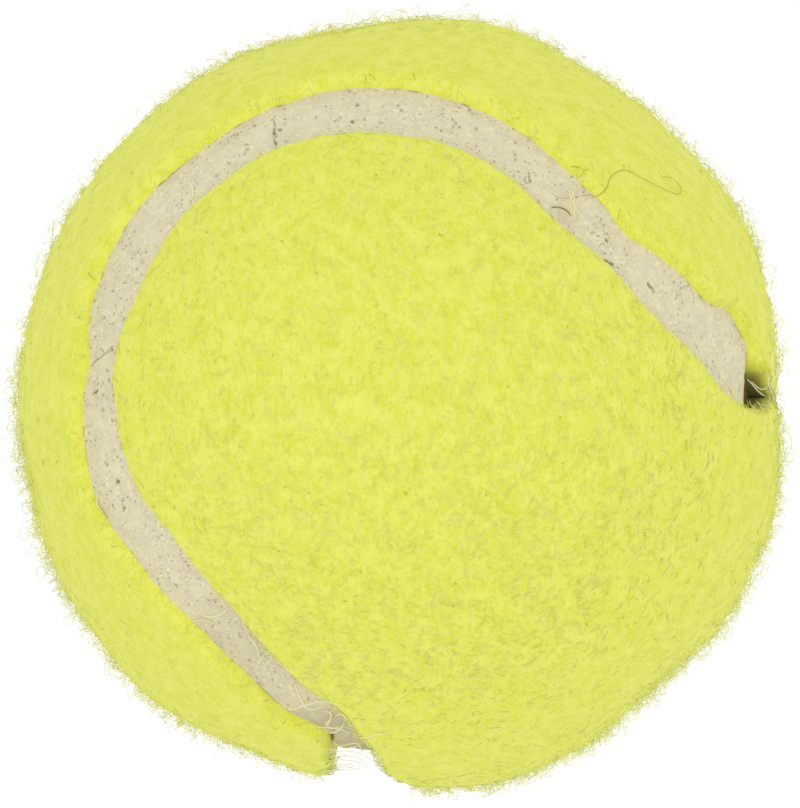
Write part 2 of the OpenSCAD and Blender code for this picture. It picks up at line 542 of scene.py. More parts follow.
def on_ball(picture_points, lift):
    """Points of the picture on the ball: where the line of sight through each first meets
    the sphere that much above the nominal felt, or its nearest point to the middle."""
    right, up, back = camera_axes()
    focal = CAMERA_LENS / CAMERA_SENSOR * PICTURE_HEIGHT
    at = np.asarray(picture_points, float)
    x = (at[:, 0] - BALL_IN_PICTURE[0]) / focal
    y = (BALL_IN_PICTURE[1] - at[:, 1]) / focal
    sight = unit(x[:, None] * right + y[:, None] * up - back)
    eye = back * CAMERA_DISTANCE
    middle = -sight @ eye
    room = (BALL_R + lift) ** 2 - (CAMERA_DISTANCE ** 2 - middle ** 2)
    return eye + sight * (middle - np.sqrt(np.maximum(room, 0)))[:, None]


def seam_axes(turn):
    """Unit vectors along the first panel's spine and towards its edge at each turn.
    On the lobes the spine is the pole and the edge direction swings half a turn about Z;
    on the waist the spine swings half a turn about Y and the edge direction is along Y."""
    quarter = np.floor(turn).astype(int) % 4
    swing = np.pi * (turn - np.floor(turn))
    c, s, o, one = np.cos(swing), np.sin(swing), np.zeros_like(swing), np.ones_like(swing)
    spine = np.choose(quarter[..., None], [
        np.stack([o, o, one], -1), np.stack([s, o, c], -1),
        np.stack([o, o, -one], -1), np.stack([s, o, -c], -1)])
    side = np.choose(quarter[..., None], [
        np.stack([-s, c, o], -1), np.stack([o, -one, o], -1),
        np.stack([-s, -c, o], -1), np.stack([o, one, o], -1)])
    return spine, side


def swung(angle, spine, side):
    """Unit vectors that angle away from the spine towards the side: cos(angle) spine +
    sin(angle) side."""
    return np.cos(angle)[..., None] * spine + np.sin(angle)[..., None] * side


def turns_from(turn, at):
    """How far each turn is past a place on the seam, from -2 to 2 round the closed loop."""
    return (turn - at + 2) % 4 - 2


def seam_place(directions):
    """The turn of the seam nearest to each direction from the middle, and the direction's
    angle from the first panel's spine."""
    x, y, z = (np.clip(directions[..., i], -1, 1) for i in range(3))
    lobe = x < 0
    angle = np.where(lobe, np.arccos(np.abs(z)), np.arcsin(np.abs(y)))
    quarter = np.where(lobe, np.where(z >= 0, 0, 2), np.where(y < 0, 1, 3))
    swing = np.choose(quarter, [
        np.arctan2(-x, y), np.arctan2(x, z), np.arctan2(-x, -y), np.arctan2(x, -z)])
    return quarter + swing / np.pi, angle


def to_other_panel(points):
    """Half a turn about the line y = z, which carries each panel onto the other."""
    return points[..., [0, 2, 1]] * [-1, 1, 1]


def opposite_turn(turn):
    """The turn of the same place on the seam, counted along the second panel: its own
    places are found from where they land after the half turn about y = z."""
    spine, side = seam_axes(turn)
    middle = math.cos(LOBE_ANGLE) * (spine + side)
    return seam_place(to_other_panel(middle))[0]


def steep_bump(turn, at, reach):
    """1 over a stretch of the seam and 0 past its ends: exp(-(distance / reach)^8)."""
    return np.exp(-((turns_from(turn, at) / reach) ** 8))


def edge_distance(turn, panel):
    """Millimetres from the seam's true line to a panel's edge, 0.05 at least: half the
    seam's width and its slip, wavy by two sizes of noise, and shifted at the named places
    by bumps, exp(-(distance / reach)^2), and by pinches with steep ends."""
    seam = bpy.context.scene.tennis_ball_seam
    spine, side = seam_axes(turn)
    place = BALL_R * math.cos(LOBE_ANGLE) * (spine + side)
    half = (seam.width / 2 + (seam.slip if panel else -seam.slip)) / MM
    for height, size, seed in EDGE_WAVES:
        half = half + height * soft_noise(place, size, seed + panel)
    for at, reach, *more in SEAM_EDGE_SHIFTS:
        half = half + more[panel] * np.exp(-((turns_from(turn, at) / reach) ** 2))
    for at, reach, *more in SEAM_PINCHES:
        half = half + more[panel] * steep_bump(turn, at, reach)
    return np.maximum(half, 0.05)


def outline_bumps(directions, bumps, forward=0.0):
    """Sum of bumps round the outline that the camera sees, each given by its degrees round
    the picture, spread and height: height exp(-(degrees away / spread)^2). Their tops lie
    that far forward of the outline, as a share of the ball's radius."""
    right, up, back = camera_axes()
    total = 0.0
    for degrees, spread, height in bumps:
        angle = math.radians(degrees)
        towards = unit(math.cos(angle) * right + math.sin(angle) * up + forward * back)
        away = np.degrees(np.arccos(np.clip(directions @ towards, -1, 1)))
        total = total + height * np.exp(-((away / spread) ** 2))
    return total


def felt_top(directions):
    """Radius of the felt's top in each direction: the nominal one with broad, middling and
    fine noise, and the named swellings round the outline that the camera sees."""
    felt = bpy.context.scene.tennis_ball_felt
    lumps = felt.lump_height / MM * layered_noise(directions * BALL_R, FELT_LUMPS)
    swells = outline_bumps(directions, OUTLINE_SWELLS, forward=0.1)
    return felt.top_radius / MM + lumps + swells


def felt_surface(directions):
    """Radius of the felt or, between the panels, of the seam in each direction, the
    millimetres inwards from the nearest panel's edge, and 0 or 1 for the panel. Near an
    edge the felt follows the quarter circle of its shoulder."""
    turn, angle = seam_place(directions)
    across = (angle - LOBE_ANGLE) * BALL_R
    panel = (across > 0).astype(int)
    edge = np.where(panel == 0, edge_distance(turn, 0), edge_distance(turn, 1))
    inside = np.abs(across) - edge
    shoulder = bpy.context.scene.tennis_ball_felt.shoulder_radius / MM
    short = shoulder - np.clip(inside, 0, shoulder)
    radius = felt_top(directions) - shoulder + np.sqrt(np.maximum(shoulder ** 2 - short ** 2, 0))
    seam = COATED_R + bpy.context.scene.tennis_ball_seam.height / MM
    return np.where(inside > 0, radius, seam), inside, panel


def facing_share(directions):
    """0 round the outline, rising smoothly to 1 on the sides that face the camera and
    away from it: a smooth step of the cosine of the angle to the camera, taken as positive."""
    return smooth_step((np.abs(directions @ camera_axes()[2]) - 0.42) / 0.45)


def coarseness(directions):
    """0 where the felt is felted smooth and 1 where it is curly: a noisy step down the
    picture over the first panel, by the hyperbolic tangent, and a quarter of it over the
    second."""
    right, up, _ = camera_axes()
    rough = 0.7 * soft_noise(directions * BALL_R, 9.0, 83)
    step = 0.5 + 0.5 * np.tanh(1.5 * (directions @ unit(0.1 * right - up)) + rough)
    _, angle = seam_place(directions)
    return step * np.where(angle < LOBE_ANGLE, 1.0, 0.25)


def fuzziness(directions):
    """Share of the short hairs that stand in each direction: noise, more of them at the
    named stretches of the outline, and fewer on the smooth side that faces the camera."""
    share = 0.55 + 0.4 * soft_noise(directions * BALL_R, 5.0, 91)
    share = np.clip(share + outline_bumps(directions, FUZZY_RIM), 0, 1)
    faces = smooth_step((directions @ camera_axes()[2] - 0.05) / 0.3)
    return share * (1 - faces * (0.98 - 0.22 * coarseness(directions)))


def along_seam(directions):
    """Unit vectors on the surface that run with the nearest stretch of the seam: square to
    each direction and to the way that its angle from the spine grows."""
    turn, angle = seam_place(directions)
    spine, side = seam_axes(turn)
    return np.cross(directions, swung(angle, side, -spine))


def beside_roots(root, heading, run, sideways):
    """Unit vectors to points that lie so many mm from each root along its heading and to
    the left of it, level with the ball's surface at the root."""
    aside = np.cross(root, heading)
    return unit(root[:, None] * BALL_R + heading[:, None] * run[..., None]
                + aside[:, None] * sideways[..., None])


def object_from(mesh, material):
    """A smooth-shaded object for the mesh, riding on the ball's one body."""
    mesh.materials.append(material)
    mesh.polygons.foreach_set("use_smooth", np.full(len(mesh.polygons), True))
    mesh.update()
    piece = bpy.data.objects.new(mesh.name, mesh)
    bpy.context.scene.collection.objects.link(piece)
    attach(piece, BODY)
    return piece


def grid_faces(rows, columns, wrap_rows=False, wrap_columns=False):
    """Four-cornered faces of a grid of points, row by row, with its last row or column
    joined to its first where it wraps."""
    row = np.arange(rows if wrap_rows else rows - 1)[:, None]
    column = np.arange(columns if wrap_columns else columns - 1)[None, :]
    down, along = (row + 1) % rows, (column + 1) % columns
    corners = [row * columns + column, row * columns + along,
               down * columns + along, down * columns + column]
    return np.stack([np.broadcast_arrays(*corners)[i] for i in range(4)], -1).reshape(-1, 4)


def mesh_from(name, points, faces):
    """A mesh of points in millimetres and faces that all have the same number of corners."""
    mesh = bpy.data.meshes.new(name)
    mesh.vertices.add(len(points))
    mesh.vertices.foreach_set("co", (points * MM).astype(np.float32).ravel())
    mesh.loops.add(faces.size)
    mesh.loops.foreach_set("vertex_index", faces.astype(np.int32).ravel())
    mesh.polygons.add(len(faces))
    starts = np.arange(len(faces), dtype=np.int32) * faces.shape[1]
    mesh.polygons.foreach_set("loop_start", starts)
    mesh.update(calc_edges=True)
    return mesh


def give_points(mesh, name, kind, key, values):
    """A named attribute of the mesh with a value, or a vector, for each of its points."""
    layer = mesh.attributes.new(name, kind, "POINT")
    layer.data.foreach_set(key, values.astype(np.float32).ravel())


def close_up(mesh):
    """Merges the points that coincide and turns every face outwards."""
    work = bmesh.new()
    work.from_mesh(mesh)
    bmesh.ops.remove_doubles(work, verts=work.verts, dist=1e-7)
    bmesh.ops.dissolve_degenerate(work, edges=work.edges, dist=1e-8)
    bmesh.ops.recalc_face_normals(work, faces=work.faces)
    work.to_mesh(mesh)
    work.free()


def make_fibres(name, paths, thickness, shades, sides=3, bulge=0.5, roundness=None):
    """Closed spindles along paths, an array of fibres by points by three. A point's ring
    lies across its path, and its radius is the fibre's half thickness times the sine of
    the way along to a power; both ends are single points. The rings are lined up with one
    direction for each fibre, which is level and leans a little along it. With a roundness,
    the fibres are shaded like the felt below them: each normal is the direction from the
    ball's centre plus the roundness times the way out from the path. The map named OFBake
    holds a narrow upright strip for each fibre: its shade across and the way along it
    upwards."""
    count, stops, _ = paths.shape
    along = np.linspace(0, 1, stops)
    radius = 0.5 * thickness[:, None] * np.sin(np.pi * along) ** bulge
    heading = unit(np.gradient(paths, axis=1))
    mean = unit(paths[:, -1] - paths[:, 0] + 1e-6)
    steady = unit(np.cross(mean, unit(paths.mean(1) + 1e-6)))
    steady = unit(steady + 0.37 * mean)
    across = unit(np.cross(heading, steady[:, None]))
    upright = np.cross(heading, across)
    ring = np.linspace(0, 2 * np.pi, sides, endpoint=False)
    middle = slice(1, stops - 1)
    out = (np.cos(ring)[:, None] * across[:, middle, None]
           + np.sin(ring)[:, None] * upright[:, middle, None])
    rings = paths[:, middle, None] + radius[:, middle, None, None] * out
    inner = stops - 2
    first, last = inner * sides, inner * sides + 1
    points = np.concatenate(
        [rings.reshape(count, first, 3), paths[:, :1], paths[:, -1:]], 1)
    side = np.arange(sides)
    after = (side + 1) % sides
    faces, across_map, up_map = [], [], []
    width = 1 / 128
    for k in range(inner - 1):
        low, high = k * sides, (k + 1) * sides
        faces += [np.stack([low + side, low + after, high + after], -1),
                  np.stack([low + side, high + after, high + side], -1)]
        across_map += [np.stack([side, side + 1, side + 1], -1),
                       np.stack([side, side + 1, side], -1)]
        up_map += [np.tile([k + 1, k + 1, k + 2], (sides, 1)),
                   np.tile([k + 1, k + 2, k + 2], (sides, 1))]
    faces += [np.stack([np.full(sides, first), after, side], -1),
              np.stack([np.full(sides, last), last - 1 - sides + side,
                        last - 1 - sides + after], -1)]
    across_map += [np.stack([side + 0.5, side + 1, side], -1),
                   np.stack([side + 0.5, side, side + 1], -1)]
    up_map += [np.tile([0, 1, 1], (sides, 1)),
               np.tile([stops - 1, stops - 2, stops - 2], (sides, 1))]
    faces = np.concatenate(faces)
    u = np.concatenate(across_map) / sides * width
    v = np.concatenate(up_map) / (stops - 1)
    every = (np.arange(count) * (last + 1))[:, None, None] + faces
    points[..., 2] = np.maximum(points[..., 2], FLOOR_Z)
    mesh = mesh_from(name, points.reshape(-1, 3), every.reshape(-1, 3))
    if roundness is not None:
        normals = unit(points)
        normals[:, :first] += roundness * out.reshape(count, first, 3)
        give_points(mesh, "custom_normal", "FLOAT_VECTOR", "vector", unit(normals))
    shades = np.clip(shades, 0, 1) * (1 - width)
    flat = np.empty((count, len(faces), 3, 2))
    flat[..., 0] = shades[:, None, None] + u
    flat[..., 1] = v
    layer = mesh.uv_layers.new(name="OFBake")
    layer.data.foreach_set("uv", flat.astype(np.float32).ravel())
    return mesh


def follow(stops, count):
    """Points at even steps along a smooth curve through the given ones: each stretch is
    the cubic that leaves and meets its ends in the direction between their neighbours."""
    stops = np.asarray(stops, float)
    padded = np.concatenate([2 * stops[:1] - stops[1:2], stops, 2 * stops[-1:] - stops[-2:-1]])
    at = np.linspace(0, len(stops) - 1 - 1e-9, count)
    k = np.floor(at).astype(int)
    f = (at - k)[:, None]
    a, b, c, d = (padded[k + i] for i in range(4))
    return 0.5 * (2 * b + (c - a) * f + (2 * a - 5 * b + 4 * c - d) * f ** 2
                  + (3 * b - a - 3 * c + d) * f ** 3)


def node(tree, kind, inputs, **settings):
    """A node in the tree with its settings, and its inputs set or linked by name or number."""
    made = tree.nodes.new("ShaderNode" + kind)
    for key, value in settings.items():
        setattr(made, key, value)
    for key, value in inputs.items():
        if isinstance(value, bpy.types.NodeSocket):
            tree.links.new(value, made.inputs[key])
        else:
            made.inputs[key].default_value = value
    return made


def maths(tree, operation, a, b):
    """The result of one arithmetic step."""
    return node(tree, "Math", {0: a, 1: b}, operation=operation).outputs[0]


def vector_maths(tree, operation, inputs):
    """The result of one step on vectors."""
    return node(tree, "VectorMath", inputs, operation=operation).outputs[0]


def clamped(tree, value):
    """The value, kept from 0 to 1."""
    return node(tree, "Clamp", {0: value}).outputs[0]


def blend_colours(tree, share, a, b):
    """Two colours mixed by a share."""
    return node(tree, "Mix", {0: share, 6: a, 7: b}, data_type="RGBA").outputs[2]


def noise(tree, place, scale, detail, **more):
    """A noise texture on the place, with its roughness or distortion where given."""
    return node(tree, "TexNoise", {"Vector": place, "Scale": scale, "Detail": detail, **more})


def rgba(colour):
    """A colour property with full alpha."""
    return (*colour, 1.0)


def new_group(name, inputs, outputs):
    """An empty node group with a Place and other named sockets, and its input and output
    nodes. A number is a value's default, and four numbers are a colour's."""
    tree = bpy.data.node_groups.new(name, "ShaderNodeTree")
    tree.interface.new_socket("Place", in_out="INPUT", socket_type="NodeSocketVector")
    for title, default in inputs.items():
        kind = "NodeSocketColor" if isinstance(default, tuple) else "NodeSocketFloat"
        socket = tree.interface.new_socket(title, in_out="INPUT", socket_type=kind)
        socket.default_value = default
    for title, kind in outputs.items():
        tree.interface.new_socket(title, in_out="OUTPUT", socket_type=kind)
    given = tree.nodes.new("NodeGroupInput").outputs
    return tree, given, tree.nodes.new("NodeGroupOutput").inputs


def mottle(tree, place, values):
    """Colour that wanders between a low and a high one in patches of a given size, with
    finer patches inside them, and a height that follows it. Its group is built once and
    placed with its own values."""
    group = bpy.data.node_groups.get("Mottle")
    if group is None:
        group, given, out = new_group(
            "Mottle",
            {"Patch Size": 0.002, "Low Colour": (0.2, 0.2, 0.2, 1),
             "High Colour": (0.8, 0.8, 0.8, 1), "Contrast": 1.0},
            {"Colour": "NodeSocketColor", "Height": "NodeSocketFloat"})
        scale = maths(group, "DIVIDE", 1.0, given["Patch Size"])
        broad = noise(group, given["Place"], scale, 3.0, Roughness=0.6)
        fine = noise(group, given["Place"], maths(group, "MULTIPLY", scale, 5.3), 2.0,
                     Roughness=0.55)
        height = maths(group, "ADD", maths(group, "MULTIPLY", broad.outputs[0], 0.6),
                       maths(group, "MULTIPLY", fine.outputs[0], 0.4))
        spread = maths(group, "MULTIPLY", maths(group, "SUBTRACT", height, 0.5),
                       maths(group, "MULTIPLY", given["Contrast"], 3.0))
        share = clamped(group, maths(group, "ADD", spread, 0.5))
        colour = blend_colours(group, share, given["Low Colour"], given["High Colour"])
        group.links.new(colour, out["Colour"])
        group.links.new(height, out["Height"])
    return node(tree, "Group", {"Place": place, **values}, node_tree=group).outputs


def pores(tree, place, cell, share, radius, crowd):
    """A mask of small uneven pores, one in a share of the cells of a given size in mm, with
    more of them where a broad noise of the crowd's size is high, and a height that drops
    into them. Its group is built once and placed with its own values."""
    group = bpy.data.node_groups.get("Pores")
    if group is None:
        group, given, out = new_group(
            "Pores",
            {"Cell Size": 0.0005, "Pore Share": 0.3, "Pore Radius": 0.2, "Crowd Size": 0.003},
            {"Mask": "NodeSocketFloat", "Height": "NodeSocketFloat"})
        fine = maths(group, "DIVIDE", 1.0, given["Cell Size"])
        push = noise(group, given["Place"], maths(group, "MULTIPLY", fine, 1.6), 1.0)
        away = vector_maths(group, "SCALE", {
            0: vector_maths(group, "SUBTRACT", {0: push.outputs["Color"], 1: (0.5, 0.5, 0.5)}),
            "Scale": maths(group, "MULTIPLY", given["Cell Size"], 1.2)})
        cells = node(group, "TexVoronoi", {
            "Vector": vector_maths(group, "ADD", {0: given["Place"], 1: away}), "Scale": fine})
        broad = noise(group, given["Place"], maths(group, "DIVIDE", 1.0, given["Crowd Size"]),
                      1.0)
        crowding = clamped(group, maths(
            group, "MULTIPLY", maths(group, "SUBTRACT", broad.outputs[0], 0.42), 6.0))
        number = node(group, "SeparateColor", {0: cells.outputs["Color"]}).outputs[0]
        chosen = maths(group, "LESS_THAN", number,
                       maths(group, "MULTIPLY", given["Pore Share"], crowding))
        inside = maths(group, "SUBTRACT", 1.0,
                       maths(group, "DIVIDE", cells.outputs["Distance"], given["Pore Radius"]))
        depth = clamped(group, maths(group, "MULTIPLY", inside, 2.0))
        mask = maths(group, "MULTIPLY", depth, chosen)
        group.links.new(mask, out["Mask"])
        group.links.new(maths(group, "SUBTRACT", 1.0, mask), out["Height"])
    return node(tree, "Group", {
        "Place": place, "Cell Size": cell * MM, "Pore Share": share, "Pore Radius": radius,
        "Crowd Size": crowd * MM}, node_tree=group).outputs


def new_finish(name, roughness, sheen=0.0, specular=0.5):
    """A material with a shader that has its plain values set, its node tree, and the place
    on the object in its own coordinates."""
    material = bpy.data.materials.new(name)
    material.use_nodes = True
    tree = material.node_tree
    shader = tree.nodes["Principled BSDF"]
    shader.inputs["Roughness"].default_value = roughness
    shader.inputs["Sheen Weight"].default_value = sheen
    shader.inputs["Specular IOR Level"].default_value = specular
    place = tree.nodes.new("ShaderNodeTexCoord").outputs["Object"]
    return material, tree, shader, place


def bumped(tree, shader, height, strength, distance):
    """Feeds a height to the shader's normal through a Bump node."""
    bump = node(tree, "Bump", {
        "Height": height, "Strength": strength, "Distance": distance * MM})
    tree.links.new(bump.outputs[0], shader.inputs["Normal"])


def felt_finish():
    """Matted wool and nylon below the loose nap: yellow-green in patches, with painted shade
    in the hollows where fine streaks of noise part, and on the edges by its attribute."""
    felt = bpy.context.scene.tennis_ball_felt
    material, tree, shader, place = new_finish(
        "felt_matted", roughness=0.95, sheen=0.1, specular=0.1)
    # Painted shade: the patches deepen to this colour where the bump's height is low
    hollow = rgba(np.array(felt.deep_colour) * [0.93, 0.94, 0.8])
    patches = mottle(tree, place, {
        "Patch Size": 1.4 * MM, "Low Colour": hollow, "High Colour": rgba(felt.main_colour),
        "Contrast": 1.5})
    drawn_out = node(tree, "Mapping", {
        "Vector": place, "Rotation": (0, 0, math.radians(45)), "Scale": (1.0, 4.0, 1.0),
    }, vector_type="TEXTURE").outputs[0]
    streaks = noise(tree, drawn_out, 1 / (0.22 * MM), 3.0, Distortion=0.5).outputs[0]
    share = clamped(tree, maths(
        tree, "MULTIPLY", maths(tree, "SUBTRACT", streaks, 0.45), 2.2))
    colour = blend_colours(tree, share, patches["Colour"], rgba(felt.light_colour))
    # Painted shade on the felt's edges beside the seam's hollows, from the panels' own attribute
    darkening = node(tree, "Attribute", {}, attribute_name="edge_dirt").outputs["Fac"]
    colour = blend_colours(tree, darkening, colour, rgba(felt.gap_shade_colour))
    tree.links.new(colour, shader.inputs["Base Color"])
    bumped(tree, shader, maths(tree, "ADD", streaks, patches["Height"]),
           strength=0.5, distance=0.12)
    return material


def ramp(tree, share, stops):
    """A colour ramp through (position, colour) stops."""
    made = node(tree, "ValToRGB", {0: share})
    while len(made.color_ramp.elements) < len(stops):
        made.color_ramp.elements.new(0.5)
    for element, (position, colour) in zip(made.color_ramp.elements, stops):
        element.position = position
        element.color = colour
    return made.outputs[0]


def fibre_finish(name, shades, root_shade_colour, root_reach, sheen):
    """Loose fibres, coloured by their own map alone: a shade for each fibre across it, and
    a darker root that fades out up it, which is painted shade at the fibre's root end."""
    material, tree, shader, _ = new_finish(name, roughness=0.85, sheen=sheen, specular=0.2)
    own = node(tree, "UVMap", {}, uv_map="OFBake").outputs[0]
    split = node(tree, "SeparateXYZ", {0: own})
    # Painted shade at the root: the colour fades from the root colour over the first part of the
    # fibre
    fade = clamped(tree, maths(
        tree, "SUBTRACT", 1.0, maths(tree, "DIVIDE", split.outputs[1], root_reach)))
    colour = blend_colours(tree, maths(tree, "MULTIPLY", fade, 0.6),
                           ramp(tree, split.outputs[0], shades), root_shade_colour)
    tree.links.new(colour, shader.inputs["Base Color"])
    return material


def rubber_finish(name, low, high, pore_colour, patch, pore_cell, roughness,
                  fleck_colour=None):
    """Cured rubber: patches of two colours and fine darker pores. The seam's strip also has
    paler flecks and winding lines where a noise passes its middle value, and from its own
    attribute darker pits, creases and edges, and painted shade over its hollows."""
    material, tree, shader, place = new_finish(name, roughness, specular=0.3)

    def stained(colour, mask, amount, stain):
        return blend_colours(tree, maths(tree, "MULTIPLY", mask, amount), colour, stain)

    patches = mottle(tree, place, {
        "Patch Size": patch * MM, "Low Colour": low, "High Colour": high})
    colour = patches["Colour"]
    holes = pores(tree, place, pore_cell, share=0.62, radius=0.31, crowd=2.6)
    if fleck_colour:
        bends = noise(tree, place, 1 / (1.1 * MM), 1.5, Distortion=1.2).outputs[0]
        off = maths(tree, "ABSOLUTE", maths(tree, "SUBTRACT", bends, 0.5), 0.0)
        lines = clamped(tree, maths(tree, "SUBTRACT", 1.0, maths(tree, "DIVIDE", off, 0.022)))
        colour = stained(colour, lines, 0.8, fleck_colour)
        elsewhere = node(tree, "Mapping", {
            "Vector": place, "Location": (0.013, 0.007, 0.003)}).outputs[0]
        flecks = pores(tree, elsewhere, cell=0.55, share=0.8, radius=0.40, crowd=2.4)
        colour = stained(colour, flecks["Mask"], 0.85, fleck_colour)
    colour = stained(colour, holes["Mask"], 0.5, pore_colour)
    if fleck_colour:
        # Darker pits, creases and edges, and painted shade over the hollows, from the strip's
        # attribute
        pits = node(tree, "Attribute", {}, attribute_name="pit_depth").outputs["Fac"]
        colour = blend_colours(tree, pits, colour, pore_colour)
    tree.links.new(colour, shader.inputs["Base Color"])
    bumped(tree, shader, maths(tree, "ADD", patches["Height"], holes["Height"]),
           strength=0.7, distance=0.09)
    return material


def fibre_colours():
    """The colours that the loose fibres' shades run through, from the few dark specks to
    the pale tips, by name and with full alpha."""
    felt = bpy.context.scene.tennis_ball_felt
    nap = bpy.context.scene.tennis_ball_nap
    colours = {"speck": nap.speck_colour, "deep": felt.deep_colour, "main": felt.main_colour,
               "light": felt.light_colour, "pale": nap.pale_colour}
    return {name: rgba(colour) for name, colour in colours.items()}


def stand(thing, place, right, back):
    """Puts a lamp or a camera at a place in mm, with its own axes along right, the cross
    product of back and right, and back, so that it looks away from back."""
    axes = np.eye(4)
    axes[:3] = np.stack([right, np.cross(back, right), back, place * MM], -1)
    thing.matrix_world = Matrix(axes.tolist())
    bpy.context.scene.collection.objects.link(thing)


class TENNIS_BALL_OT_light_stage(bpy.types.Operator):
    """Lay the pale floor, set the soft light and stand the camera where the photograph's was"""
    bl_idname = "tennis_ball.light_stage"
    bl_label = "Light the stage"

    def execute(self, context):
        scene = context.scene
        corners = np.array([(-1, -1), (1, -1), (1, 1), (-1, 1)]) * FLOOR_REACH
        level = np.full((4, 1), FLOOR_Z)
        mesh = mesh_from("floor", np.hstack([corners, level]), np.array([[0, 1, 2, 3]]))
        floor = bpy.data.objects.new("floor", mesh)
        scene.collection.objects.link(floor)
        material, tree, shader, place = new_finish("floor_paper", roughness=0.9, specular=0.1)
        grain = noise(tree, place, 60.0, 2.0).outputs[0]
        low, high = (rgba([grey] * 3) for grey in FLOOR_GREYS)
        tint = blend_colours(tree, grain, low, high)
        tree.links.new(tint, shader.inputs["Base Color"])
        shader.inputs["Emission Color"].default_value = (1, 1, 1, 1)
        shader.inputs["Emission Strength"].default_value = FLOOR_GLOW
        mesh.materials.append(material)

        world = bpy.data.worlds.new("soft_dome")
        world.use_nodes = True
        background = world.node_tree.nodes["Background"]
        background.inputs["Color"].default_value = (1, 1, 1, 1)
        background.inputs["Strength"].default_value = DOME_LIGHT
        scene.world = world

        right, _, back = camera_axes()
        lamp = bpy.data.lights.new("soft_window", "AREA")
        lamp.shape = "DISK"
        lamp.size = LAMP_WIDTH
        lamp.energy = LAMP_POWER
        towards = unit(back - LAMP_SHIFT * right)
        level = unit(np.cross(towards, LAMP_LINE))
        stand(bpy.data.objects.new("soft_window", lamp), towards * LAMP_DISTANCE, level, towards)

        lens = bpy.data.cameras.new("camera")
        lens.lens = CAMERA_LENS
        lens.sensor_width = CAMERA_SENSOR
        longest = max(PICTURE_WIDTH, PICTURE_HEIGHT)
        lens.shift_x = (PICTURE_WIDTH / 2 - BALL_IN_PICTURE[0]) / longest
        lens.shift_y = (BALL_IN_PICTURE[1] - PICTURE_HEIGHT / 2) / longest
        lens.clip_start, lens.clip_end = 0.01, 20.0
        scene.camera = bpy.data.objects.new("camera", lens)
        stand(scene.camera, back * CAMERA_DISTANCE, right, back)
        scene.view_settings.view_transform = "Standard"
        return {"FINISHED"}


class TENNIS_BALL_OT_finish_core(bpy.types.Operator):
    """Give the hollow core, its joint, its cement coats and the panels' backings their finishes"""
    bl_idname = "tennis_ball.finish_core"
    bl_label = "Finish the core"

    def execute(self, context):
        finishes = {name: rubber_finish(name, *values) for name, values in CORE_FINISHES.items()}
        for name, finish in WEARS.items():
            slots = bpy.data.objects[name].material_slots
            if not slots:
                raise RuntimeError(f"{name} has no material slot")
            for place in slots:
                place.material = finishes[finish]
        return {"FINISHED"}


